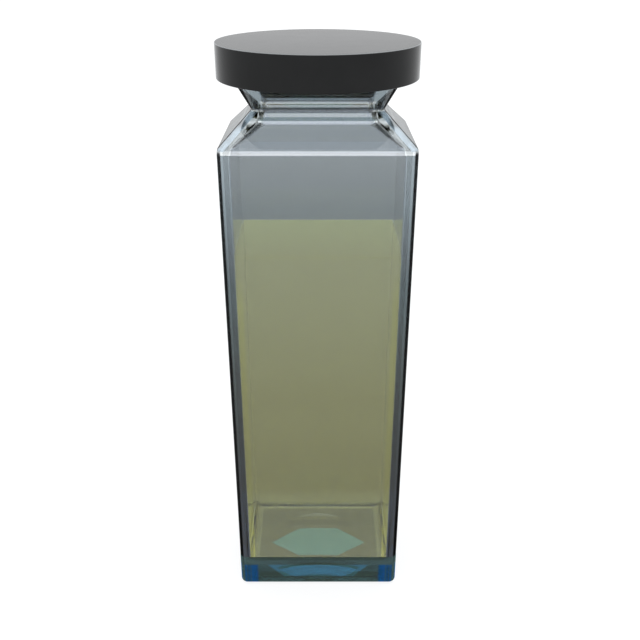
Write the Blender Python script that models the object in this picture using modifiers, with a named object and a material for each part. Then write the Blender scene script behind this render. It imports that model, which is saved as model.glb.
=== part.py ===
"""Rectangular glass specimen jar, filled with preserving fluid and closed by a round lift-off lid.

The base stands on z = 0, centred on the origin. X runs across the wide faces and Y front to back.
Every ring of the jar is the body's outline, drawn in by an inset at a height.
"""
import math

import bmesh
import bpy

MM = 0.001

# Outside of the glass
BODY_WIDTH = 80.0 * MM
BODY_DEPTH = 57.0 * MM
BODY_HEIGHT = 226.8 * MM
CORNER_RADIUS = 3.3 * MM
SHOULDER_INSET = 13.3 * MM
SHOULDER_RISE = 13.1 * MM
WAIST_CORNER_RADIUS = 3.2 * MM
NECK_HEIGHT = 12.3 * MM
FLARE_RUN = 7.3 * MM

# Thickness and edges of the glass
WALL = 4.3 * MM
BASE_THICKNESS = 12.0 * MM
WAIST_WALL = 2.7 * MM
CAVITY_CORNER_RADIUS = 1.2 * MM
THROAT_LENGTH = 10.8 * MM
THROAT_CORNER_RADIUS = 4.7 * MM
BASE_EDGE_RADIUS = 2.2 * MM
SHOULDER_EDGE_RADIUS = 2.4 * MM
WAIST_EDGE_RADIUS = 1.2 * MM
RIM_EDGE_RADIUS = 0.8 * MM
FLOOR_FILLET = 4.4 * MM
CAVITY_SHOULDER_FILLET = 4.0 * MM
THROAT_FILLET = 2.4 * MM
BEARING_WIDTH = 3.5 * MM
PUSH_UP_RISE = 2.0 * MM

# Fluid
HEADSPACE = 46.4 * MM
MENISCUS_RISE = 0.9 * MM
MENISCUS_WIDTH = 2.4 * MM

# Lid shell
SKIRT_WALL = 2.4 * MM
SKIRT_CLEARANCE = 2.2 * MM
SKIRT_OVERLAP = 1.4 * MM
LID_TOP = 2.6 * MM
LID_HOLLOW = 4.8 * MM
LID_EDGE_RADIUS = 0.4 * MM
LEDGE_WIDTH = 2.0 * MM
BEAD_PROUD = 0.8 * MM
BEAD_HEIGHT = 1.0 * MM

# Plug insert and its seals
FLANGE_THICKNESS = 3.0 * MM
PLUG_DEPTH = 6.7 * MM
PLUG_WALL = 3.2 * MM
PLUG_EDGE_RADIUS = 0.8 * MM
PLUG_CLEARANCE = 0.6 * MM
GROOVE_HEIGHT = 2.8 * MM
GROOVE_DEPTH = 1.6 * MM
GASKET_THICKNESS = 1.2 * MM
FIT_GAP = 0.3 * MM

# Smoothness
CORNER_STEPS = 8
FILLET_STEPS = 5
TURN_STEPS = 72

# Heights and slopes that follow from the sizes above
WAIST_Z = BODY_HEIGHT + SHOULDER_RISE
RIM_Z = WAIST_Z + NECK_HEIGHT
SHOULDER_SLOPE = SHOULDER_INSET / SHOULDER_RISE
FLARE_SLOPE = FLARE_RUN / NECK_HEIGHT
THROAT_INSET = SHOULDER_INSET + WAIST_WALL
PUSH_UP_RADIUS = min(BODY_WIDTH, BODY_DEPTH) / 2 - BASE_EDGE_RADIUS - BEARING_WIDTH
FLANGE_UNDERSIDE = GASKET_THICKNESS + 2 * FIT_GAP
FLANGE_TOP = FLANGE_UNDERSIDE + FLANGE_THICKNESS


def neck_line(depth):
    """Shoulder foot, waist and rim of the surface that lies a depth inside the outer glass."""
    shoulder_lean = math.hypot(1, SHOULDER_SLOPE)
    flare_lean = math.hypot(1, FLARE_SLOPE)
    foot_z = BODY_HEIGHT - depth * (shoulder_lean - 1) / SHOULDER_SLOPE
    waist_z = WAIST_Z + depth * (flare_lean - shoulder_lean) / (SHOULDER_SLOPE + FLARE_SLOPE)
    return (depth, foot_z), (flare_inset(waist_z, depth), waist_z), (flare_inset(RIM_Z, depth), RIM_Z)


def flare_inset(z, depth):
    """Inset of the neck's flare at a height, a depth inside the outer glass."""
    return SHOULDER_INSET - FLARE_SLOPE * (z - WAIST_Z) + depth * math.hypot(1, FLARE_SLOPE)


def throat_top():
    """Height at which the mouth's flare runs into the straight throat."""
    return WAIST_Z + (flare_inset(WAIST_Z, WALL) - THROAT_INSET) / FLARE_SLOPE


def mouth_corner(inset):
    """Corner radius in the mouth, where every outline is a parallel of the throat's."""
    return max(THROAT_CORNER_RADIUS + THROAT_INSET - inset, 0.5 * MM)


def rim_reach():
    """Furthest distance of the rim's corners from the jar's axis."""
    radius = WAIST_CORNER_RADIUS + FLARE_RUN
    inset = SHOULDER_INSET - FLARE_RUN
    return math.hypot(BODY_WIDTH / 2 - inset - radius, BODY_DEPTH / 2 - inset - radius) + radius


def rounded(points, radii):
    """Round the inner points of a line of (inset, z, corner radius), each by its own radius."""
    line = [points[0]]
    for before, here, after, radius in zip(points, points[1:], points[2:], radii):
        arm_in = math.hypot(before[0] - here[0], before[1] - here[1])
        arm_out = math.hypot(after[0] - here[0], after[1] - here[1])
        towards = [(b - h) / arm_in for b, h in zip(before, here)]
        away = [(a - h) / arm_out for a, h in zip(after, here)]
        cosine = towards[0] * away[0] + towards[1] * away[1]
        half = math.acos(max(-1.0, min(1.0, cosine))) / 2
        reach = min(radius / math.tan(half), 0.45 * arm_in, 0.45 * arm_out)
        swing = math.pi / 2 - half
        for step in range(FILLET_STEPS + 1):
            angle = swing * (2 * step / FILLET_STEPS - 1)
            rise = (math.cos(angle) - math.cos(swing)) / math.sin(swing)
            run = math.sin(angle) / math.sin(swing)
            share_in = (1 - run - rise / math.tan(swing)) / 2
            share_out = (1 + run - rise / math.tan(swing)) / 2
            line.append(tuple(h + reach * (share_in * t + share_out * a)
                              for h, t, a in zip(here, towards, away)))
    line.append(points[-1])
    return line


def rectangle_ring(inset, z, corner):
    """The body's outline drawn in by an inset, with rounded corners."""
    half_x = BODY_WIDTH / 2 - inset
    half_y = BODY_DEPTH / 2 - inset
    radius = min(corner, half_x, half_y)
    ring = []
    for quarter, (side_x, side_y) in enumerate(((1, 1), (-1, 1), (-1, -1), (1, -1))):
        for step in range(CORNER_STEPS + 1):
            angle = (quarter + step / CORNER_STEPS) * math.pi / 2
            ring.append((side_x * (half_x - radius) + radius * math.cos(angle),
                         side_y * (half_y - radius) + radius * math.sin(angle), z))
    return ring


def circle_ring(radius, z):
    """A circle with as many points as a rectangle ring, matched corner by corner."""
    count = 4 * (CORNER_STEPS + 1)
    turns = [(step + 0.5) * 2 * math.pi / count for step in range(count)]
    return [(radius * math.cos(turn), radius * math.sin(turn), z) for turn in turns]


def make_material(name, color, roughness, transmission=0.0):
    material = bpy.data.materials.new(name)
    material.use_nodes = True
    shader = material.node_tree.nodes["Principled BSDF"]
    shader.inputs["Base Color"].default_value = (*color, 1)
    shader.inputs["Roughness"].default_value = roughness
    shader.inputs["Transmission Weight"].default_value = transmission
    material.diffuse_color = (*color, 1)
    return material


def place(name, mesh, material, parent=None):
    """Put a mesh into the jar's collection as a named piece."""
    piece = bpy.data.objects.new(name, mesh)
    bpy.data.collections["specimen_jar"].objects.link(piece)
    mesh.materials.append(material)
    piece.parent = parent
    return piece


def loft(name, rings, closed=False):
    """Skin a row of rings with quads: capped at both ends, or closed on itself as a hoop."""
    shape = bmesh.new()
    loops = [[shape.verts.new(point) for point in ring] for ring in rings]
    pairs = list(zip(loops, loops[1:]))
    if closed:
        pairs.append((loops[-1], loops[0]))
    else:
        shape.faces.new(loops[0])
        shape.faces.new(loops[-1])
    for lower, upper in pairs:
        for index, corner in enumerate(lower):
            following = (index + 1) % len(lower)
            shape.faces.new((corner, lower[following], upper[following], upper[index]))
    bmesh.ops.recalc_face_normals(shape, faces=shape.faces)
    mesh = bpy.data.meshes.new(name)
    shape.to_mesh(mesh)
    shape.free()
    mesh.shade_smooth()
    mesh.set_sharp_from_angle(angle=math.radians(40))
    return mesh


def turned(piece):
    """Turn a profile about Z into a closed solid."""
    screw = piece.modifiers.new("turn", "SCREW")
    screw.steps = TURN_STEPS
    screw.render_steps = TURN_STEPS
    screw.use_merge_vertices = True
    screw.merge_threshold = 0.02 * MM
    screw.use_smooth_shade = True


def build_jar_body():
    """One moulded piece of glass: push-up base, walls, shoulder, waist, flared rim and straight throat."""
    rings = []
    for share in (0.12, 0.3, 0.5, 0.7, 0.88, 1.0):
        rings.append(circle_ring(share * PUSH_UP_RADIUS, PUSH_UP_RISE * (1 - share ** 2)))
    edge = 2 * BASE_EDGE_RADIUS
    foot, waist, rim = neck_line(0)
    outside = [
        (edge, 0, CORNER_RADIUS - edge / 2),
        (0, 0, CORNER_RADIUS),
        (*foot, CORNER_RADIUS),
        (*waist, WAIST_CORNER_RADIUS),
        (*rim, WAIST_CORNER_RADIUS + FLARE_RUN),
    ]
    foot, _, mouth = neck_line(WALL)
    inside = [
        (*mouth, mouth_corner(mouth[0])),
        (THROAT_INSET, throat_top(), THROAT_CORNER_RADIUS),
        (THROAT_INSET, throat_top() - THROAT_LENGTH, THROAT_CORNER_RADIUS),
        (*foot, CAVITY_CORNER_RADIUS),
        (WALL, BASE_THICKNESS, CAVITY_CORNER_RADIUS),
        (WALL + 2.4 * FLOOR_FILLET, BASE_THICKNESS, 0.5 * MM),
    ]
    radii = [BASE_EDGE_RADIUS, SHOULDER_EDGE_RADIUS, WAIST_EDGE_RADIUS, RIM_EDGE_RADIUS,
             RIM_EDGE_RADIUS, THROAT_FILLET, THROAT_FILLET, CAVITY_SHOULDER_FILLET, FLOOR_FILLET]
    rings += [rectangle_ring(*station) for station in rounded(outside + inside, radii)]
    glass = make_material("jar_glass", (0.80, 0.86, 0.88), 0.02, 1.0)
    place("jar_body", loft("jar_body", rings), glass)


def build_preserving_fluid():
    """The fluid in the jar, a gap clear of the glass, with a meniscus round its edge."""
    wall = WALL + FIT_GAP
    floor = BASE_THICKNESS + FIT_GAP
    level = BODY_HEIGHT - HEADSPACE
    corner = CAVITY_CORNER_RADIUS - FIT_GAP
    line = rounded([
        (wall + 2.4 * FLOOR_FILLET, floor, 0.5 * MM),
        (wall, floor, corner),
        (wall, level + MENISCUS_RISE, corner),
    ], [FLOOR_FILLET - FIT_GAP])
    for step in range(1, FILLET_STEPS + 1):
        angle = step * math.pi / 2 / FILLET_STEPS
        inward = MENISCUS_WIDTH * (1 - math.cos(angle))
        line.append((wall + inward, level + MENISCUS_RISE * (1 - math.sin(angle)),
                     max(corner - inward, 0.3 * MM)))
    fluid = make_material("fluid", (0.62, 0.66, 0.22), 0.02, 1.0)
    place("preserving_fluid", loft("preserving_fluid", [rectangle_ring(*s) for s in line]), fluid)


def build_lid_shell(lid):
    """Round moulded cover, hollow below, with a ledge and a snap bead that hold the insert."""
    bore = rim_reach() + SKIRT_CLEARANCE
    radius = bore + SKIRT_WALL
    ledge = FLANGE_TOP + FIT_GAP
    ceiling = ledge + LID_HOLLOW
    top = ceiling + LID_TOP
    bead_top = FLANGE_UNDERSIDE - FIT_GAP
    cut = LID_EDGE_RADIUS
    soft = cut * (1 - math.sqrt(0.5))
    profile = [
        (0, top),
        (radius - cut, top),
        (radius - soft, top - soft),
        (radius, top - cut),
        (radius, cut - SKIRT_OVERLAP),
        (radius - soft, soft - SKIRT_OVERLAP),
        (radius - cut, -SKIRT_OVERLAP),
        (bore, -SKIRT_OVERLAP),
        (bore, bead_top - BEAD_HEIGHT),
        (bore - BEAD_PROUD, bead_top - BEAD_HEIGHT / 2),
        (bore, bead_top),
        (bore, ledge),
        (bore - LEDGE_WIDTH, ledge),
        (bore - LEDGE_WIDTH, ceiling),
        (0, ceiling),
    ]
    mesh = bpy.data.meshes.new("lid_shell")
    edges = [(index, index + 1) for index in range(len(profile) - 1)]
    mesh.from_pydata([(r, 0, z) for r, z in profile], edges, [])
    turned(place("lid_shell", mesh, make_material("lid_black", (0.012, 0.012, 0.012), 0.3), lid))


def plug_station(z, deeper=0.0):
    """A station on the plug's tapered side, or that much deeper inside it."""
    inset = flare_inset(RIM_Z + min(z, 0), WALL + PLUG_CLEARANCE) + deeper
    return inset, z, mouth_corner(inset)


def groove_span():
    """Bottom and top of the groove for the plug's seal, halfway down the tapered side."""
    middle = -PLUG_DEPTH / 2
    return middle - GROOVE_HEIGHT / 2, middle + GROOVE_HEIGHT / 2


def build_plug_insert(lid):
    """Flange that snaps into the shell, and a hollow plug that follows the mouth's flare."""
    low, high = groove_span()
    floor = PLUG_WALL - PLUG_DEPTH
    flange = rim_reach() + SKIRT_CLEARANCE - FIT_GAP
    rings = [rectangle_ring(*plug_station(z, PLUG_WALL)) for z in (floor, 0, FLANGE_TOP)]
    rings += [circle_ring(flange, FLANGE_TOP), circle_ring(flange, FLANGE_UNDERSIDE)]
    groove_inset = plug_station(low)[0] + GROOVE_DEPTH
    groove_corner = mouth_corner(groove_inset)
    side = [
        plug_station(FLANGE_UNDERSIDE),
        plug_station(0),
        plug_station(high),
        (groove_inset, high, groove_corner),
        (groove_inset, low, groove_corner),
        plug_station(low),
    ]
    nose = rounded([
        plug_station(low - 0.1 * MM),
        plug_station(-PLUG_DEPTH),
        plug_station(-PLUG_DEPTH, 2 * PLUG_EDGE_RADIUS),
    ], [PLUG_EDGE_RADIUS])
    rings += [rectangle_ring(*station) for station in side + nose]
    plastic = make_material("plug_black", (0.015, 0.015, 0.015), 0.45)
    place("plug_insert", loft("plug_insert", rings), plastic, lid)


def build_plug_seal(lid):
    """Ribbed ring in the plug's groove, its two ribs a gap clear of the glass."""
    low, high = groove_span()
    back = plug_station(low)[0] + GROOVE_DEPTH - FIT_GAP
    low += FIT_GAP
    high -= FIT_GAP
    stations = [(back, low, mouth_corner(back))]
    for share, depth in ((0, PLUG_CLEARANCE), (0.25, FIT_GAP), (0.5, PLUG_CLEARANCE),
                         (0.75, FIT_GAP), (1, PLUG_CLEARANCE)):
        z = low + share * (high - low)
        inset = flare_inset(RIM_Z + z, WALL + depth)
        stations.append((inset, z, mouth_corner(inset)))
    stations.append((back, high, mouth_corner(back)))
    rubber = make_material("seal_rubber", (0.02, 0.02, 0.02), 0.7)
    mesh = loft("plug_seal", [rectangle_ring(*station) for station in stations], closed=True)
    place("plug_seal", mesh, rubber, lid)


def build_rim_gasket(lid):
    """Flat ring under the flange that beds on the rim's flat land."""
    outer = SHOULDER_INSET - FLARE_RUN + RIM_EDGE_RADIUS
    inner = flare_inset(RIM_Z, WALL) - RIM_EDGE_RADIUS
    outer_corner = WAIST_CORNER_RADIUS + FLARE_RUN - RIM_EDGE_RADIUS
    low = FIT_GAP
    high = FIT_GAP + GASKET_THICKNESS
    stations = [
        (inner, low, mouth_corner(inner)),
        (outer, low, outer_corner),
        (outer, high, outer_corner),
        (inner, high, mouth_corner(inner)),
    ]
    rubber = make_material("gasket_rubber", (0.03, 0.03, 0.03), 0.75)
    mesh = loft("rim_gasket", [rectangle_ring(*station) for station in stations], closed=True)
    place("rim_gasket", mesh, rubber, lid)


def main():
    for old in list(bpy.data.objects):
        bpy.data.objects.remove(old)
    jar = bpy.data.collections.new("specimen_jar")
    bpy.context.scene.collection.children.link(jar)
    lid = bpy.data.objects.new("lid_lift", None)
    lid.location.z = RIM_Z
    jar.objects.link(lid)
    build_jar_body()
    build_preserving_fluid()
    build_lid_shell(lid)
    build_plug_insert(lid)
    build_plug_seal(lid)
    build_rim_gasket(lid)


main()
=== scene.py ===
"""Specimen jar of clear glass with yellow-green preserving fluid and a black plug lid."""
import math
from types import SimpleNamespace

import bmesh
import bpy
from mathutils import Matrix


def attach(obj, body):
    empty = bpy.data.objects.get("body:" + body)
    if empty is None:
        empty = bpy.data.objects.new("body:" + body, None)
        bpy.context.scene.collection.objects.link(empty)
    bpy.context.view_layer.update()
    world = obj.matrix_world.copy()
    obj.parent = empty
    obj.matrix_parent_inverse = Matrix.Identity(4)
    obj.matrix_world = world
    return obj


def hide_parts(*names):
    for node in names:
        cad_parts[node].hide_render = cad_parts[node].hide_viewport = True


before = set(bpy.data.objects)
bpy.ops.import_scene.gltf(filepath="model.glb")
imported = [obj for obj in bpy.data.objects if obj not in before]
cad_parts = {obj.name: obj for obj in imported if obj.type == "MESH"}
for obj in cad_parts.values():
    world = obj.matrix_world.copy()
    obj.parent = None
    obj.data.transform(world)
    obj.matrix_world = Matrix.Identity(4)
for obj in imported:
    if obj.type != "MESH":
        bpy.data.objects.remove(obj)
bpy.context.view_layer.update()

MM = 0.001
CORNERS = ((1, 1), (-1, 1), (-1, -1), (1, -1))
scene = bpy.context.scene


# Modelling helpers

def pick(piece, kind, test):
    """Select the vertices, edges or faces that pass a test, and nothing else."""
    bpy.ops.mesh.select_mode(type="VERT")
    bpy.ops.mesh.select_all(action="DESELECT")
    bpy.ops.mesh.select_mode(type=kind)
    shape = bmesh.from_edit_mesh(piece.data)
    for item in {"VERT": shape.verts, "EDGE": shape.edges, "FACE": shape.faces}[kind]:
        if test(item):
            item.select_set(True)
    shape.select_flush_mode()
    bmesh.update_edit_mesh(piece.data)


def at_height(height, slack=0.02 * MM):
    """A test for vertices, edges or faces that lie at one height."""
    def test(item):
        verts = getattr(item, "verts", None) or [item]
        return all(abs(vert.co.z - height) < slack for vert in verts)
    return test


def rounded_block(name, outline, low, high, steps=10):
    """A block with an outline of (half width, half depth, corner radius), left in edit mode."""
    half_x, half_y, corner = outline
    bpy.ops.object.select_all(action="DESELECT")
    bpy.ops.mesh.primitive_cube_add(size=1, location=(0, 0, (low + high) / 2),
                                    scale=(2 * half_x, 2 * half_y, high - low))
    block = bpy.context.object
    block.name = name
    bpy.ops.object.transform_apply(location=True, rotation=True, scale=True)
    bpy.ops.object.mode_set(mode="EDIT")
    pick(block, "EDGE", lambda edge: abs(edge.verts[0].co.z - edge.verts[1].co.z) > (high - low) / 2)
    bpy.ops.mesh.bevel(offset=corner, offset_type="OFFSET", segments=steps, profile=0.5, affect="EDGES")
    pick(block, "FACE", lambda face: face.normal.z > 0.9)
    return block


def turned_block(name, radius, low, high, sides=160):
    """A round block about the upright axis, left in edit mode with its lower face selected."""
    bpy.ops.object.select_all(action="DESELECT")
    bpy.ops.mesh.primitive_cylinder_add(vertices=sides, radius=radius, depth=high - low,
                                        location=(0, 0, (low + high) / 2))
    block = bpy.context.object
    block.name = name
    bpy.ops.object.transform_apply(location=True, rotation=True, scale=True)
    bpy.ops.object.mode_set(mode="EDIT")
    pick(block, "FACE", lambda face: face.normal.z < -0.9)
    return block


def next_circle(before, after, rise):
    """Extrude the selected round face up or down and bring it to the next radius."""
    bpy.ops.mesh.extrude_region_move(TRANSFORM_OT_translate={"value": (0, 0, rise)})
    bpy.ops.transform.resize(value=(after / before, after / before, 1), center_override=(0, 0, 0))
    return after


def next_outline(piece, before, after, rise):
    """Extrude the selected end face and bring each of its corners to the next outline."""
    bpy.ops.mesh.extrude_region_move(TRANSFORM_OT_translate={"value": (0, 0, rise)})
    shape = bmesh.from_edit_mesh(piece.data)
    ring = {vert.index: vert.co.copy() for vert in shape.verts if vert.select}
    height = next(iter(ring.values())).z
    grow = after[2] / before[2]
    for side_x, side_y in CORNERS:
        corner = {index for index, place in ring.items() if place.x * side_x > 0 and place.y * side_y > 0}
        old = (side_x * (before[0] - before[2]), side_y * (before[1] - before[2]))
        new = (side_x * (after[0] - after[2]), side_y * (after[1] - after[2]))
        pick(piece, "VERT", lambda vert: vert.index in corner)
        bpy.ops.transform.resize(value=(grow, grow, 1), center_override=(*old, height))
        bpy.ops.transform.translate(value=(new[0] - old[0], new[1] - old[1], 0))
    pick(piece, "FACE", lambda face: all(vert.index in ring for vert in face.verts))
    return after


def soften_ring(piece, height, width, steps=6, test=None):
    """Bevel the closed ring of edges that lies at a height."""
    level = at_height(height)
    pick(piece, "EDGE", lambda edge: level(edge) and (test is None or all(test(v.co) for v in edge.verts)))
    bpy.ops.mesh.bevel(offset=width, offset_type="OFFSET", segments=steps, profile=0.5, affect="EDGES")


def finish_piece(piece, angle=50):
    """Leave edit mode with the faces pointing out, smooth, and the flats kept flat."""
    bpy.ops.mesh.select_mode(type="VERT")
    bpy.ops.mesh.select_all(action="SELECT")
    bpy.ops.mesh.remove_doubles(threshold=0.002 * MM)
    bpy.ops.mesh.normals_make_consistent(inside=False)
    bpy.ops.object.mode_set(mode="OBJECT")
    bpy.ops.object.shade_smooth_by_angle(angle=math.radians(angle))
    weighted = piece.modifiers.new("flat faces", "WEIGHTED_NORMAL")
    weighted.mode = "FACE_AREA"
    weighted.weight = 100
    weighted.keep_sharp = True
    bpy.ops.object.modifier_apply(modifier=weighted.name)


def cut_with(piece, tool, action):
    """Join or cut a piece with another and keep only the result."""
    bpy.ops.object.select_all(action="DESELECT")
    bpy.context.view_layer.objects.active = piece
    piece.select_set(True)
    boolean = piece.modifiers.new("fit", "BOOLEAN")
    boolean.operation = action
    boolean.solver = "EXACT"
    boolean.object = tool
    bpy.ops.object.modifier_apply(modifier=boolean.name)
    bpy.data.objects.remove(tool)


# Sizes of the glass, the same as the solids'

BODY = (40.0 * MM, 28.5 * MM, 3.3 * MM)
WAIST = (26.7 * MM, 15.2 * MM, 3.2 * MM)
RIM = (34.0 * MM, 22.5 * MM, 10.5 * MM)
MOUTH = (29.0 * MM, 17.5 * MM, 9.7 * MM)
THROAT = (24.0 * MM, 12.5 * MM, 4.7 * MM)
CAVITY = (35.7 * MM, 24.2 * MM, 1.2 * MM)
SHOULDER_Z = 226.8 * MM
WAIST_Z = 239.9 * MM
RIM_Z = 252.2 * MM
THROAT_Z = 243.78 * MM
THROAT_FOOT_Z = 232.98 * MM
CAVITY_TOP_Z = 225.02 * MM
FLOOR_Z = 12.0 * MM
FLOOR_FILLET = 4.4 * MM
PUSH_UP_RADIUS = 22.8 * MM
PUSH_UP_RISE = 2.0 * MM
CORNER_TUCK = 0.06
FLUID_LEVEL = 180.4 * MM
FLUID_GAP = 0.3 * MM
MENISCUS_RISE = 0.9 * MM
MENISCUS_STEPS = ((0.25, -0.4), (0.75, -0.3), (1.4, -0.2))

# Rounded rings of the glass: height and width

GLASS_ROUNDINGS = (
    (THROAT_Z, 0.66 * MM),
    (THROAT_FOOT_Z, 1.27 * MM),
    (CAVITY_TOP_Z, 2.1 * MM),
    (WAIST_Z, 0.9 * MM),
    (SHOULDER_Z, 1.0 * MM),
    (0, 2.2 * MM),
)

# Share of the push-up's radius at each step up its dome

DOME_SHARES = (0.97, 0.9, 0.8, 0.68, 0.55, 0.42, 0.29, 0.16, 0.05)


def round_to_floor(piece, outline, radius, steps=8):
    """Carry the selected end face down and in along a quarter round."""
    down = 0.0
    now = outline
    for step in range(1, steps + 1):
        angle = step * math.pi / 2 / steps
        next_in, next_down = radius * (1 - math.cos(angle)), radius * math.sin(angle)
        after = (outline[0] - next_in, outline[1] - next_in, outline[2] - CORNER_TUCK * next_in)
        now = next_outline(piece, now, after, down - next_down)
        down = next_down


def raise_push_up(jar):
    """Dome the underside up inside its flat bearing ring."""
    dome = turned_block("push_up_former", PUSH_UP_RADIUS, -4 * MM, 0, 96)
    pick(dome, "FACE", lambda face: face.normal.z > 0.9)
    radius = PUSH_UP_RADIUS
    height = 0.0
    for share in DOME_SHARES:
        rise = PUSH_UP_RISE * (1 - share ** 2) - height
        radius = next_circle(radius, share * PUSH_UP_RADIUS, rise)
        height += rise
    finish_piece(dome)
    cut_with(jar, dome, "DIFFERENCE")
    bpy.ops.object.mode_set(mode="EDIT")
    level = at_height(0)
    pick(jar, "EDGE", lambda edge: level(edge) and all(
        abs(vert.co.xy.length - PUSH_UP_RADIUS) < 0.05 * MM for vert in edge.verts))
    bpy.ops.mesh.mark_sharp()


def model_jar_glass():
    """The moulded glass: walls, shoulder, waist and flared rim, then the cavity down to its floor."""
    jar = rounded_block("jar_glass", BODY, 0, SHOULDER_Z, 20)
    now = next_outline(jar, BODY, WAIST, WAIST_Z - SHOULDER_Z)
    now = next_outline(jar, now, RIM, RIM_Z - WAIST_Z)
    now = next_outline(jar, now, MOUTH, 0)
    now = next_outline(jar, now, THROAT, THROAT_Z - RIM_Z)
    now = next_outline(jar, now, THROAT, THROAT_FOOT_Z - THROAT_Z)
    now = next_outline(jar, now, CAVITY, CAVITY_TOP_Z - THROAT_FOOT_Z)
    now = next_outline(jar, now, CAVITY, FLOOR_Z + FLOOR_FILLET - CAVITY_TOP_Z)
    round_to_floor(jar, now, FLOOR_FILLET)
    bpy.ops.mesh.inset(thickness=0.4 * MM)

    def outer_rim(place):
        return max(abs(place.x) / RIM[0], abs(place.y) / RIM[1]) > 0.88

    soften_ring(jar, RIM_Z, 0.45 * MM, 4, outer_rim)
    soften_ring(jar, RIM_Z, 1.2 * MM, 4, lambda place: not outer_rim(place))
    for height, width in GLASS_ROUNDINGS:
        soften_ring(jar, height, width)
    finish_piece(jar)
    raise_push_up(jar)
    finish_piece(jar)
    note_inner_faces(jar)
    return jar


def note_inner_faces(jar):
    """Keep on each point whether it lies on the inside of the jar, for the glass to read."""
    inner = set()
    for face in jar.data.polygons:
        outward = face.center.x * face.normal.x + face.center.y * face.normal.y
        on_floor = face.normal.z > 0.9 and face.center.z < 20 * MM
        if face.center.z > FLOOR_Z / 2 and (outward < -0.05 * MM or on_floor):
            inner.update(face.vertices)
    mark = jar.data.attributes.new("inner_face", "FLOAT", "POINT")
    for index in range(len(jar.data.vertices)):
        mark.data[index].value = 1.0 if index in inner else 0.0


def model_fluid():
    """The fluid up to its level, with a meniscus round the edge."""
    wall = tuple(size - FLUID_GAP for size in CAVITY)
    fillet = FLOOR_FILLET - FLUID_GAP
    wall_foot = FLOOR_Z + FLUID_GAP + fillet
    fluid = rounded_block("fluid_fill", wall, wall_foot, FLUID_LEVEL + MENISCUS_RISE)
    now = wall
    for inward, drop in MENISCUS_STEPS:
        lip = (now[0] - inward * MM, now[1] - inward * MM, now[2] * 0.8)
        now = next_outline(fluid, now, lip, drop * MM)
    bpy.ops.mesh.inset(thickness=0.25 * MM)
    pick(fluid, "FACE", at_height(wall_foot))
    round_to_floor(fluid, wall, fillet)
    bpy.ops.mesh.inset(thickness=0.25 * MM)
    finish_piece(fluid)
    return fluid


LID_RADIUS = 41.487 * MM
LID_BORE = 39.087 * MM
LID_FOOT_Z = 250.8 * MM
LID_TOP_Z = 264.7 * MM
LEDGE_Z = 257.3 * MM
CEILING_Z = 262.1 * MM
LEDGE_WIDTH = 2.0 * MM
BEAD_FOOT = 1.9 * MM
BEAD_TOP_Z = 253.7 * MM
BEAD_STEPS = ((0.45, 0.2), (0.8, 0.3), (0.45, 0.3), (0.0, 0.2))


def model_lid_cap():
    """The round cover: a plain drum outside, with the snap bead, ledge and hollow inside."""
    lid = turned_block("lid_cap", LID_RADIUS, LID_FOOT_Z, LID_TOP_Z)
    bpy.ops.mesh.inset(thickness=LID_RADIUS - LID_BORE)
    now = next_circle(LID_BORE, LID_BORE, BEAD_FOOT)
    for proud, rise in BEAD_STEPS:
        now = next_circle(now, LID_BORE - proud * MM, rise * MM)
    next_circle(now, LID_BORE, LEDGE_Z - BEAD_TOP_Z)
    bpy.ops.mesh.inset(thickness=LEDGE_WIDTH)
    hollow = LID_BORE - LEDGE_WIDTH
    next_circle(hollow, hollow, CEILING_Z - LEDGE_Z)
    pick(lid, "FACE", lambda face: face.normal.z > 0.9 and face.calc_center_median().z > CEILING_Z + 1 * MM)
    bpy.ops.mesh.inset(thickness=1.5 * MM)

    def outside(place):
        return place.xy.length > LID_RADIUS - 0.1 * MM

    soften_ring(lid, LID_TOP_Z, 0.4 * MM, 4, outside)
    soften_ring(lid, LID_FOOT_Z, 0.4 * MM, 4, outside)
    soften_ring(lid, CEILING_Z, 0.5 * MM, 3)
    finish_piece(lid, 40)
    return lid


# Plug outlines: at the flange, along the taper, and in the groove

PLUG_TOP = (28.30 * MM, 16.80 * MM, 9.0 * MM)
PLUG_NOSE = (24.33 * MM, 12.83 * MM, 5.03 * MM)
PLUG_NOSE_Z = 245.5 * MM
FLANGE_RADIUS = 38.787 * MM
FLANGE_FOOT_Z = 254.0 * MM
FLANGE_TOP_Z = 257.0 * MM
GROOVE = (23.88 * MM, 12.38 * MM, 4.58 * MM)
GROOVE_LOW_Z = 247.45 * MM
GROOVE_HIGH_Z = 250.25 * MM
HOLLOW_FOOT_Z = 248.7 * MM
HOLLOW_STEP_Z = 249.0 * MM
PLUG_WALL = 3.2 * MM
PLUG_HEAD_Z = 255.5 * MM
NOSE_STEP = 1 * MM


def on_taper(height, inward=0.0):
    """The plug's outline at a height on its taper, or that much further in."""
    share = min((RIM_Z - height) / (RIM_Z - PLUG_NOSE_Z), 1.0)
    shrink = (PLUG_TOP[0] - PLUG_NOSE[0]) * share + inward
    return tuple(size - shrink for size in PLUG_TOP[:2]) + (max(PLUG_TOP[2] - shrink, 0.5 * MM),)


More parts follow.
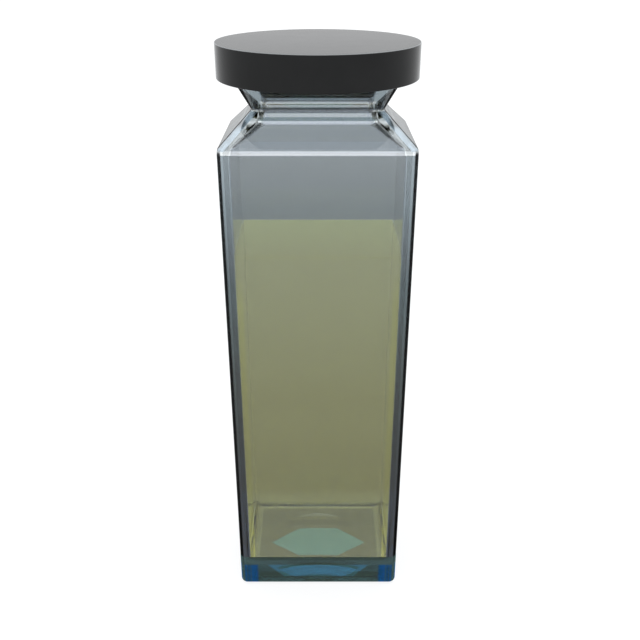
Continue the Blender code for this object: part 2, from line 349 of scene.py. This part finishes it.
def model_plug():
    """The round flange that snaps into the lid, and the tapered plug with its seal groove and hollow."""
    hollow_foot = on_taper(HOLLOW_FOOT_Z, PLUG_WALL)
    hollow = rounded_block("plug_hollow", hollow_foot, HOLLOW_FOOT_Z, HOLLOW_STEP_Z)
    now = next_outline(hollow, hollow_foot, on_taper(RIM_Z, PLUG_WALL), RIM_Z - HOLLOW_STEP_Z)
    next_outline(hollow, now, now, 8 * MM)
    finish_piece(hollow)
    flange = turned_block("plug_flange", FLANGE_RADIUS, FLANGE_FOOT_Z, FLANGE_TOP_Z, 128)
    soften_ring(flange, FLANGE_TOP_Z, 0.35 * MM, 3)
    soften_ring(flange, FLANGE_FOOT_Z, 0.35 * MM, 3)
    finish_piece(flange)
    nose = on_taper(PLUG_NOSE_Z)
    plug = rounded_block("plug_form", nose, PLUG_NOSE_Z, PLUG_NOSE_Z + NOSE_STEP)
    now = next_outline(plug, nose, on_taper(GROOVE_LOW_Z), GROOVE_LOW_Z - PLUG_NOSE_Z - NOSE_STEP)
    now = next_outline(plug, now, GROOVE, 0)
    now = next_outline(plug, now, GROOVE, GROOVE_HIGH_Z - GROOVE_LOW_Z)
    now = next_outline(plug, now, on_taper(GROOVE_HIGH_Z), 0)
    now = next_outline(plug, now, PLUG_TOP, RIM_Z - GROOVE_HIGH_Z)
    next_outline(plug, now, now, PLUG_HEAD_Z - RIM_Z)
    soften_ring(plug, PLUG_NOSE_Z, 0.8 * MM, 4)
    finish_piece(plug)
    cut_with(plug, flange, "UNION")
    cut_with(plug, hollow, "DIFFERENCE")
    bpy.ops.object.mode_set(mode="EDIT")
    finish_piece(plug, 35)
    return plug


def hoop(name, stations, inner):
    """A ring skinned up its outer stations of (outline, height), with a straight inner wall."""
    low, high = stations[0][1], stations[-1][1]
    first = (stations[1][1] - low) / 4
    ring = rounded_block(name, stations[0][0], low, low + first)
    now, height = stations[0][0], low + first
    for outline, level in stations[1:]:
        now = next_outline(ring, now, outline, level - height)
        height = level
    now = next_outline(ring, now, inner, 0)
    next_outline(ring, now, inner, low - high)
    pick(ring, "FACE", lambda face: len(face.verts) > 20 and at_height(low)(face))
    bpy.ops.mesh.bridge_edge_loops()
    return ring


RIB_STEPS = 16
RIB_PROUD = 0.3 * MM


def model_plug_ring():
    """The ribbed ring in the plug's groove."""
    low, high = 247.75 * MM, 249.95 * MM
    stations = []
    for step in range(RIB_STEPS + 1):
        share = step / RIB_STEPS
        height = low + share * (high - low)
        stations.append((on_taper(height, -RIB_PROUD * math.sin(2 * math.pi * share) ** 2), height))
    ring = hoop("plug_ring", stations, (24.18 * MM, 12.68 * MM, 4.88 * MM))
    finish_piece(ring)
    return ring


def model_rim_washer():
    """The flat ring under the flange that beds on the rim."""
    outer = (33.2 * MM, 21.7 * MM, 9.7 * MM)
    low, high = 252.5 * MM, 253.7 * MM
    inner = (29.8 * MM, 18.3 * MM, 10.5 * MM)
    washer = hoop("rim_washer", [(outer, low), (outer, high)], inner)
    for height in (low, high):
        soften_ring(washer, height, 0.15 * MM, 3)
    finish_piece(washer)
    return washer


# Materials

CLEAR = (1, 1, 1, 1)
BLACK = (0, 0, 0, 1)


def color(red, green, blue):
    return red, green, blue, 1


def grey(level):
    return level, level, level, 1


class NodeBench:
    """The nodes of one material, group or world, with short ways to add the steps it needs."""

    def __init__(self, tree):
        self.nodes = tree.nodes
        self.links = tree.links

    def feed(self, given, socket):
        """Link an input to a socket, or set it to a value."""
        if hasattr(given, "links"):
            self.links.new(given, socket)
        else:
            socket.default_value = given

    def blend(self, factor, first, second, kind="MIX"):
        """A colour mix."""
        mix = self.nodes.new("ShaderNodeMix")
        mix.data_type = "RGBA"
        mix.blend_type = kind
        self.feed(factor, mix.inputs["Factor"])
        self.feed(first, mix.inputs[6])
        self.feed(second, mix.inputs[7])
        return mix.outputs[2]

    def math(self, operation, *given):
        """One step of arithmetic."""
        node = self.nodes.new("ShaderNodeMath")
        node.operation = operation
        for value, socket in zip(given, node.inputs):
            self.feed(value, socket)
        return node.outputs[0]

    def both(self, first, second):
        return self.math("MULTIPLY", first, second)

    def either(self, first, second):
        return self.math("MAXIMUM", first, second)

    def minus(self, first, second):
        return self.math("SUBTRACT", first, second)

    def plus(self, first, second):
        return self.math("ADD", first, second)

    def opposite(self, value):
        return self.minus(1.0, value)

    def spread(self, value, low, high, to_low=0.0, to_high=1.0, smooth=True):
        """Bring a value from one range to another, held at the ends."""
        node = self.nodes.new("ShaderNodeMapRange")
        node.interpolation_type = "SMOOTHSTEP" if smooth else "LINEAR"
        self.links.new(value, node.inputs["Value"])
        for name, number in (("From Min", low), ("From Max", high), ("To Min", to_low), ("To Max", to_high)):
            node.inputs[name].default_value = number
        return node.outputs["Result"]

    def span(self, length, low, high, *ends):
        """A spread of a length, between two limits in millimetres."""
        return self.spread(length, low * MM, high * MM, *ends)

    def band(self, length, low, high, soft):
        """1 where a length lies between two limits in millimetres, with soft ends."""
        above = self.span(length, low - soft, low + soft)
        below = self.span(length, high + soft, high - soft)
        return self.both(above, below)

    def group(self, tree, **values):
        """A copy of a node group with its own values."""
        node = self.nodes.new("ShaderNodeGroup")
        node.node_tree = tree
        for name, value in values.items():
            node.inputs[name.replace("_", " ")].default_value = value
        return node.outputs

    def fade(self, low, high):
        """The height fade between two heights in millimetres."""
        return self.group(HEIGHT_FADE, Low=low * MM, High=high * MM)["Fade"]

    def place(self, coordinates="Object"):
        """The three parts of a point's place."""
        point = self.nodes.new("ShaderNodeTexCoord")
        split = self.nodes.new("ShaderNodeSeparateXYZ")
        self.links.new(point.outputs[coordinates], split.inputs[0])
        return split.outputs


def new_material(name):
    material = bpy.data.materials.new(name)
    material.use_nodes = True
    bench = NodeBench(material.node_tree)
    return material, bench, bench.nodes["Principled BSDF"].inputs


def new_group(name, inputs, outputs):
    """An empty node group with named number sockets, and its two ends."""
    tree = bpy.data.node_groups.new(name, "ShaderNodeTree")
    for label, value in inputs.items():
        socket = tree.interface.new_socket(label, in_out="INPUT", socket_type="NodeSocketFloat")
        socket.default_value = value
    for label in outputs:
        tree.interface.new_socket(label, in_out="OUTPUT", socket_type="NodeSocketFloat")
    entry = tree.nodes.new("NodeGroupInput").outputs
    leave = tree.nodes.new("NodeGroupOutput").inputs
    return tree, entry, leave


def moulded_grain_group():
    """Fine grain and slow mottling of a moulded surface."""
    tree, entry, leave = new_group("moulded_grain", {"Grain Size": 0.0004, "Mottle Size": 0.012},
                                   ("Grain", "Mottle"))
    bench = NodeBench(tree)
    point = bench.nodes.new("ShaderNodeTexCoord")
    for size, detail, result in (("Grain Size", 3, "Grain"), ("Mottle Size", 4, "Mottle")):
        noise = bench.nodes.new("ShaderNodeTexNoise")
        noise.inputs["Detail"].default_value = detail
        bench.links.new(point.outputs["Object"], noise.inputs["Vector"])
        bench.links.new(bench.math("DIVIDE", 1.0, entry[size]), noise.inputs["Scale"])
        bench.links.new(noise.outputs["Fac"], leave[result])
    return tree


def height_fade_group():
    """How far a point is from one height to another, from 0 to 1."""
    tree, entry, leave = new_group("height_fade", {"Low": 0.0, "High": 0.2}, ("Fade",))
    bench = NodeBench(tree)
    ramp = bench.nodes.new("ShaderNodeMapRange")
    bench.links.new(bench.place()["Z"], ramp.inputs["Value"])
    bench.links.new(entry["Low"], ramp.inputs["From Min"])
    bench.links.new(entry["High"], ramp.inputs["From Max"])
    bench.links.new(ramp.outputs["Result"], leave["Fade"])
    return tree


GRAIN = moulded_grain_group()
HEIGHT_FADE = height_fade_group()

# Painted light and shade on the outer glass, standing in for the surroundings seen through it: at heights up
# the wall, and from one height to another on shoulder and neck, in mm

WALL_PAINTED_LIGHT_AND_SHADE = (
    (20, color(0.106, 0.147, 0.229)),
    (50, color(0.0915, 0.123, 0.164)),
    (62, color(0.0553, 0.0677, 0.0608)),
    (85, color(0.044, 0.0513, 0.041)),
    (113, color(0.0359, 0.0405, 0.0303)),
    (136, color(0.0383, 0.044, 0.0367)),
    (182, color(0.051, 0.061, 0.060)),
    (203, color(0.068, 0.091, 0.089)),
    (226, color(0.15, 0.18, 0.17)),
)
NECK_PAINTED_LIGHT_AND_SHADE = (
    (226.4, 227.2, color(0.25, 0.305, 0.31)),
    (236.4, 236.7, color(0.14, 0.21, 0.23)),
    (239.0, 239.3, color(0.08, 0.10, 0.11)),
    (240.0, 240.4, color(0.01, 0.015, 0.02)),
    (241.2, 241.6, color(0.06, 0.085, 0.10)),
)

# How much wider the body is than deep, to either side, and the same as a ratio

EXTRA_WIDTH = BODY[0] - BODY[1]
WIDTH_TO_DEPTH = 1.4

# Heights in mm between which the base's painted dark band, its painted blue part and the painted underside
# begin

BASE_TOP = (18.4, 18.0)
BLUE_TOP = (13.2, 12.6)
UNDERSIDE_TOP = (2.6, 2.2)

# How far forward the painted teal reflection in the push-up sits, and how much the coat's IOR rises on the
# painted highlights and on the painted pale line at the floor's rounding
GLEAM_FORWARD = 1.5 * MM
GLEAM_COAT = 2.2
FILLET_COAT = 2.4


def glass_places(bench):
    """Where a point of the glass lies, which way it faces, and whether it is on the inside."""
    at = SimpleNamespace()
    place = bench.place()
    at.depth = place["Y"]
    at.height = place["Z"]
    at.across = bench.math("ABSOLUTE", place["X"])
    at.along = bench.math("ABSOLUTE", place["Y"])
    at.from_within = bench.nodes.new("ShaderNodeNewGeometry").outputs["Backfacing"]
    turn = bench.nodes.new("ShaderNodeLayerWeight")
    turn.inputs["Blend"].default_value = 0.5
    at.away = turn.outputs["Facing"]
    side = bench.nodes.new("ShaderNodeAttribute")
    side.attribute_name = "inner_face"
    at.inner = side.outputs["Fac"]
    at.on_side = bench.span(at.across, 38.5, 39.5)
    front_margin = bench.both(bench.minus(BODY[0], at.across), bench.opposite(at.on_side))
    side_margin = bench.both(bench.minus(BODY[1], at.along), at.on_side)
    at.margin = bench.plus(front_margin, side_margin)
    at.hip = bench.minus(bench.minus(at.across, at.along), EXTRA_WIDTH)
    at.slope = bench.band(at.height, 226.6, 240.0, 0.2)
    return at


def painted_wall_light_and_shade(bench, at):
    """Painted light and shade on the walls: grey, paler near the floor and the shoulder, darker in painted
    shade strips beside the corners, with painted yellow streaks of the fluid just inside them.
    """
    tint = WALL_PAINTED_LIGHT_AND_SHADE[0][1]
    for (low, _), (high, next_tint) in zip(WALL_PAINTED_LIGHT_AND_SHADE, WALL_PAINTED_LIGHT_AND_SHADE[1:]):
        tint = bench.blend(bench.fade(low, high), tint, next_tint)
    rise = bench.math("POWER", bench.fade(45, 163), 3.0)
    # Painted shade: strips just inside the corners, near black low on the wall and fading out towards the
    # shoulder
    painted_edge_shade = bench.blend(rise, color(0.002, 0.004, 0.007), color(0.17, 0.27, 0.33))
    painted_edge_shade = bench.blend(bench.fade(170, 205), painted_edge_shade, color(0.81, 0.92, 1.13))
    painted_edge_shade = bench.blend(bench.fade(226.4, 226.0), CLEAR, painted_edge_shade)
    tint = bench.blend(bench.span(at.margin, 5.7, 5.1), tint, painted_edge_shade, "MULTIPLY")
    # Painted streaks of the yellow fluid seen in the side walls, brightest low and gone above 175 mm
    painted_fluid_streak = bench.both(bench.band(at.margin, 5.6, 8.0, 0.3), bench.fade(175, 160))
    fluid_streak_tint = bench.blend(bench.fade(30, 55), color(2.9, 2.9, 1.4), color(1.1, 1.1, 0.65))
    tint = bench.blend(painted_fluid_streak, tint, fluid_streak_tint, "MULTIPLY")
    # Painted pale and dark bands on the shoulder and neck
    for low, high, next_tint in NECK_PAINTED_LIGHT_AND_SHADE:
        tint = bench.blend(bench.fade(low, high), tint, next_tint)
    return tint


def base_marks(bench, at):
    """Masks of the heavy base for its painted shade and reflection: all of it, its blue middle, and its
    corners with two lines in each where the deep blue lifts.
    """
    front_run = bench.both(at.across, bench.opposite(at.on_side))
    side_run = bench.both(bench.both(at.along, WIDTH_TO_DEPTH), at.on_side)
    run = bench.plus(front_run, side_run)
    core = bench.span(bench.minus(run, at.height), 13.2, 12.4)
    core = bench.both(core, bench.band(at.height, 5.2, 13.0, 0.4))
    # Two lines in each corner where the painted deep blue lifts
    corner_lines = bench.either(bench.band(run, 34.4, 35.0, 0.3), bench.band(run, 36.2, 36.7, 0.2))
    ends = bench.both(bench.band(run, 31.0, 37.8, 0.5), bench.opposite(bench.both(corner_lines, 0.7)))
    return bench.span(at.height, *BASE_TOP), core, ends


def painted_base_shade_and_reflection(bench, based, core, ends, above):
    """Painted shade and reflection in the base: dark green, with a blue middle and deep blue corners standing
    in for a blue sky seen in the heavy glass.
    """
    tint = bench.blend(based, above, color(0.0025, 0.005, 0.005))
    base = bench.blend(core, color(0.001, 0.003, 0.003), color(0.001, 0.0095, 0.0286))
    base = bench.blend(ends, base, color(0.0, 0.0013, 0.0155))
    return bench.blend(bench.fade(*BLUE_TOP), tint, base)


def painted_base_coat_tint(bench, at, core, ends):
    """The colour of the coat over the base: a painted blue reflection, deeper in the corners."""
    painted_blue = bench.blend(core, color(0.66, 0.81, 0.81), color(0.73, 1.0, 1.0))
    return bench.blend(bench.both(ends, bench.span(at.height, *BLUE_TOP)), painted_blue, color(0.31, 0.79, 1.0))


def painted_highlight_marks(bench, at):
    """Masks of the painted highlights: the hips, all that gleams, and every pale line, painted where light
    gathers in rounded glass.
    """
    # Painted highlights on the hips, the shoulder ring and the neck band, fainter on the inner hips; painted
    # pale lines at the throat and the waist
    hip_highlight = bench.both(bench.band(at.hip, -3.2, 1.7, 0.1), at.slope)
    ring = bench.band(at.height, 225.1, 226.9, 0.2)
    broad = bench.span(at.hip, -5.5, -7.5)
    neck_band = bench.both(bench.both(bench.band(at.height, 241.4, 243.8, 0.3), broad), 0.8)
    inner_hip = bench.both(bench.both(bench.band(at.hip, -6.4, -3.6, 0.4), at.slope), 0.5)
    gleam = bench.either(bench.either(hip_highlight, inner_hip), bench.either(ring, neck_band))
    throat_line = bench.band(at.height, 235.4, 236.5, 0.1)
    waist_line = bench.both(bench.band(at.height, 237.8, 239.0, 0.2), 0.7)
    pale = bench.either(gleam, bench.either(throat_line, waist_line))
    return hip_highlight, gleam, pale


def dark_marks(bench, at):
    """Masks of the painted shade: the turned-away corners, and the whole painted dark outline with hips,
    flare and low dark lines.
    """
    # Painted shade along the corners where the glass turns away from view
    corner = bench.both(bench.span(at.across, 37.6, 38.4), bench.span(at.along, 26.1, 26.9))
    corner = bench.both(corner, bench.band(at.height, 13.0, 226.4, 1.0))
    edge_share = bench.spread(at.height, 0.0, SHOULDER_Z, 0.72, 0.90, smooth=False)
    edge_turn = bench.math("DIVIDE", bench.opposite(at.away), edge_share)
    corner = bench.both(corner, bench.spread(edge_turn, 0.95, 0.80))
    # A painted dark line beside each hip, and painted shade round the flare
    hip_line = bench.both(bench.band(at.hip, 1.8, 3.5, 0.1), at.slope)
    hip_line = bench.both(hip_line, bench.spread(at.away, 0.50, 0.60))
    reach = bench.minus(bench.math("ABSOLUTE", at.hip), bench.both(at.height, 0.593))
    flare = bench.both(bench.fade(240.2, 240.8), bench.span(reach, -138.8, -139.3))
    flare = bench.both(flare, bench.spread(at.away, 0.49, 0.61))
    weight = bench.span(at.height, 35, 65, 0.96, 0.88)
    # A painted dark line low beside each corner, above the base
    low_dark_line = bench.both(bench.band(at.margin, 4.0, 4.5, 0.2), bench.span(at.height, 55, 22))
    low_dark_line = bench.both(bench.both(low_dark_line, bench.span(at.height, 18.0, 18.4)), 0.7)
    upright = bench.either(bench.both(corner, weight), low_dark_line)
    return corner, bench.either(upright, bench.both(bench.either(hip_line, flare), 0.95))


def painted_underside_light(bench, at):
    """What leaves through the glass: clear, but painted olive shade below with a painted teal reflection in
    the push-up.
    """
    # The painted teal reflection sits in a six-sided patch a little forward of the middle
    forward = bench.math("ABSOLUTE", bench.plus(at.depth, GLEAM_FORWARD))
    slant = bench.plus(at.across, bench.both(forward, WIDTH_TO_DEPTH))
    dome = bench.both(bench.span(slant, 25.8, 24.8), bench.span(forward, 11.0, 10.2))
    under = bench.blend(dome, color(0.357, 0.326, 0.13), color(0.37, 1.0, 1.0))
    return bench.blend(bench.fade(*UNDERSIDE_TOP), CLEAR, under)


def floor_fillet(bench, at):
    """The rounding between the jar's floor and its walls."""
    to_wall = bench.either(at.along, bench.minus(at.across, EXTRA_WIDTH))
    return bench.both(bench.band(to_wall, 19.2, 22.8, 0.3), bench.span(at.height, 14.2, 13.9))


def clear_glass():
    """Thick moulded glass with painted light and shade: grey through the walls, blue in the heavy base, dark
    along its outline.
    """
    material, bench, inputs = new_material("thick_clear_glass")
    inputs["IOR"].default_value = 1.5
    inputs["Coat Roughness"].default_value = 0.02
    inputs["Transmission Weight"].default_value = 1.0
    at = glass_places(bench)
    based, core, ends = base_marks(bench, at)
    hip_highlight, gleam, pale = painted_highlight_marks(bench, at)
    corner, outline = dark_marks(bench, at)

    # Painted highlights, shade and reflection on the outer glass: pale lines and hips, a black outline, and
    # olive and teal seen through the underside
    outer = painted_base_shade_and_reflection(bench, based, core, ends, painted_wall_light_and_shade(bench, at))
    outer = bench.blend(pale, outer, color(0.84, 0.96, 1.0))
    outer = bench.blend(hip_highlight, outer, color(0.22, 0.36, 0.50))
    outer = bench.blend(outline, outer, BLACK)
    outer = bench.blend(at.from_within, outer, painted_underside_light(bench, at))

    # Painted shade on the inner glass above the fluid, a grey over all that is seen through the empty part
    above_fluid_shade = bench.group(HEIGHT_FADE, Low=FLUID_LEVEL + 1.2 * MM, High=FLUID_LEVEL + 0.6 * MM)["Fade"]
    inner = bench.blend(at.from_within, bench.blend(above_fluid_shade, color(0.30, 0.32, 0.38), CLEAR), CLEAR)
    bench.links.new(bench.blend(at.inner, outer, inner), inputs["Base Color"])

    # Clear faces; the hips are a little soft, and the coat gives the painted highlights, the painted blue of
    # the base and the painted dark outline
    bench.links.new(bench.both(hip_highlight, 0.25), inputs["Roughness"])
    facing = bench.opposite(at.from_within)
    outside = bench.both(bench.opposite(at.inner), facing)
    # A painted pale line on the rounding of the floor, seen from inside
    fillet = bench.both(bench.both(at.inner, facing), floor_fillet(bench, at))
    bright = bench.either(bench.both(outside, bench.both(gleam, bench.opposite(corner))), fillet)
    # Painted shade: the shoulder's faces go grey where they turn away from view
    panel = bench.both(bench.both(at.slope, bench.spread(at.away, 0.80, 0.90)), 0.4)
    dark = bench.both(outside, bench.either(outline, bench.either(panel, based)))
    bench.links.new(bench.either(dark, bright), inputs["Coat Weight"])
    shade = bench.blend(based, grey(0.02), painted_base_coat_tint(bench, at, core, ends))
    bench.links.new(bench.blend(bright, shade, CLEAR), inputs["Coat Tint"])
    gloss = bench.plus(bench.both(bright, GLEAM_COAT), bench.both(fillet, FILLET_COAT))
    bench.links.new(bench.plus(1.0, gloss), inputs["Coat IOR"])

    volume = bench.nodes.new("ShaderNodeVolumeAbsorption")
    volume.inputs["Color"].default_value = color(0.0, 0.05, 0.08)
    volume.inputs["Density"].default_value = 3.0
    bench.links.new(volume.outputs["Volume"], bench.nodes["Material Output"].inputs["Volume"])
    return material


def yellow_fluid():
    """Clear yellow-green fluid, faintly cloudy, with painted shade deepening its colour towards the bottom.
    """
    material, bench, inputs = new_material("yellow_green_fluid")
    inputs["Roughness"].default_value = 0.0
    inputs["IOR"].default_value = 1.02
    inputs["Transmission Weight"].default_value = 1.0
    # Painted shade: deeper yellow towards the floor
    rise = bench.group(HEIGHT_FADE, Low=FLOOR_Z, High=FLUID_LEVEL)["Fade"]
    tint = bench.blend(rise, color(1.0, 0.97, 0.48), color(1.0, 0.98, 0.60))
    cloud = bench.group(GRAIN, Grain_Size=4 * MM, Mottle_Size=35 * MM)["Mottle"]
    tint = bench.blend(1.0, tint, bench.blend(cloud, color(0.96, 0.96, 0.93), CLEAR), "MULTIPLY")
    # Painted shade: the fluid darkens below 100 mm, most below 30 mm
    lower_shade = bench.blend(bench.fade(30, 100), color(0.64, 0.59, 0.42), CLEAR)
    tint = bench.blend(1.0, tint, lower_shade, "MULTIPLY")
    tint = bench.blend(bench.fade(13.5, 12.5), tint, CLEAR)
    bench.links.new(tint, inputs["Base Color"])
    return material


def lid_edge_line(bench):
    """1 on the rounding of the lid's top edge, where a highlight is painted."""
    place = bench.place()
    squares = [bench.math("POWER", place[axis], 2.0) for axis in ("X", "Y")]
    radius = bench.math("SQRT", bench.plus(*squares))
    outward = bench.spread(radius, LID_RADIUS - 0.36 * MM, LID_RADIUS - 0.28 * MM)
    upper = bench.spread(place["Z"], LID_TOP_Z - 0.36 * MM, LID_TOP_Z - 0.28 * MM)
    return bench.both(outward, upper)


def black_plastic(name, base, roughness, ior, grain_size, bump_height, edge_highlight=0.0):
    """Moulded black plastic: fine grain, slow mottling in colour and gloss, and, where asked, a paler painted
    highlight along the lid's top edge.
    """
    material, bench, inputs = new_material(name)
    inputs["IOR"].default_value = ior
    grain = bench.group(GRAIN, Grain_Size=grain_size, Mottle_Size=14 * MM)
    tint = bench.blend(grain["Mottle"], grey(0.8 * base), grey(1.25 * base))
    if edge_highlight:
        # Painted highlight along the rounding of the lid's top edge
        tint = bench.blend(lid_edge_line(bench), tint, grey(edge_highlight))
    bench.links.new(tint, inputs["Base Color"])
    gloss = bench.spread(grain["Mottle"], 0.25, 0.75, roughness * 0.85, roughness * 1.15)
    bench.links.new(gloss, inputs["Roughness"])
    bump = bench.nodes.new("ShaderNodeBump")
    bump.inputs["Strength"].default_value = 0.5
    bump.inputs["Distance"].default_value = bump_height
    bench.links.new(grain["Grain"], bump.inputs["Height"])
    bench.links.new(bump.outputs["Normal"], inputs["Normal"])
    return material


def put(piece, material, body, node):
    """Dress a piece, let it ride on its body and stand for its solid."""
    piece.data.materials.clear()
    piece.data.materials.append(material)
    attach(piece, body)
    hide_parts(node)


put(model_jar_glass(), clear_glass(), "jar", "jar_body")
put(model_fluid(), yellow_fluid(), "jar", "preserving_fluid")
put(model_lid_cap(), black_plastic("lid_gloss_black", 0.025, 0.12, 1.18, 0.3 * MM, 0.01 * MM, 0.35),
    "lid", "lid_shell")
put(model_plug(), black_plastic("plug_matt_black", 0.012, 0.45, 1.45, 0.4 * MM, 0.04 * MM),
    "lid", "plug_insert")
put(model_plug_ring(), black_plastic("ribbed_seal_rubber", 0.018, 0.6, 1.4, 0.2 * MM, 0.03 * MM),
    "lid", "plug_seal")
put(model_rim_washer(), black_plastic("flat_washer_rubber", 0.022, 0.65, 1.4, 0.25 * MM, 0.03 * MM),
    "lid", "rim_gasket")

# Floor, light and camera

FLOOR_SIZE = 12
FLOOR_DROP = 0.2 * MM
FLOOR_GLOW = 0.82
HORIZON = color(0.86, 0.87, 0.88)
BACKDROP = grey(1.06)
OVERHEAD = color(1.25, 1.32, 1.38)
IMAGE_SIZE = 640
SENSOR_WIDTH = 36
FOCAL_PIXELS = 773.76
CAMERA_PLACE = (0.9 * MM, -328.1 * MM, 302.7 * MM)
CAMERA_DIP = 26.49


def lay_floor():
    """A pale floor that shows white to the camera and in the glass, and keeps the shadow."""
    bpy.ops.object.select_all(action="DESELECT")
    bpy.ops.mesh.primitive_plane_add(size=FLOOR_SIZE, location=(0, 0, -FLOOR_DROP))
    floor = bpy.context.object
    floor.name = "floor"
    material, bench, inputs = new_material("white_floor")
    inputs["Base Color"].default_value = grey(0.25)
    inputs["Roughness"].default_value = 1.0
    inputs["Specular IOR Level"].default_value = 0.0
    inputs["Emission Color"].default_value = CLEAR
    ray = bench.nodes.new("ShaderNodeLightPath").outputs
    seen = bench.either(bench.either(ray["Is Camera Ray"], ray["Is Glossy Ray"]), ray["Is Transmission Ray"])
    bench.links.new(bench.both(seen, FLOOR_GLOW), inputs["Emission Strength"])
    floor.data.materials.append(material)


def light_room():
    """Soft light from all round, brighter overhead, with a white backdrop seen directly or through glass."""
    world = bpy.data.worlds.new("white_room")
    world.use_nodes = True
    bench = NodeBench(world.node_tree)
    sky = bench.nodes["Background"].inputs
    overhead = bench.spread(bench.place("Generated")["Z"], 0.2, 0.9)
    light = bench.blend(overhead, HORIZON, OVERHEAD)
    backdrop = bench.blend(overhead, BACKDROP, OVERHEAD)
    ray = bench.nodes.new("ShaderNodeLightPath").outputs
    through = bench.either(ray["Is Camera Ray"], ray["Is Transmission Ray"])
    bench.links.new(bench.blend(through, light, backdrop), sky["Color"])
    sky["Strength"].default_value = 1.0
    scene.world = world


def set_camera():
    lens = bpy.data.cameras.new("camera")
    lens.sensor_width = SENSOR_WIDTH
    lens.lens = SENSOR_WIDTH * FOCAL_PIXELS / IMAGE_SIZE
    camera = bpy.data.objects.new("camera", lens)
    camera.location = CAMERA_PLACE
    camera.rotation_euler = (math.radians(90 - CAMERA_DIP), 0, 0)
    scene.collection.objects.link(camera)
    scene.camera = camera


lay_floor()
light_room()
set_camera()

scene.cycles.max_bounces = 32
scene.cycles.transmission_bounces = 32
scene.cycles.glossy_bounces = 16
scene.view_settings.view_transform = "Standard"
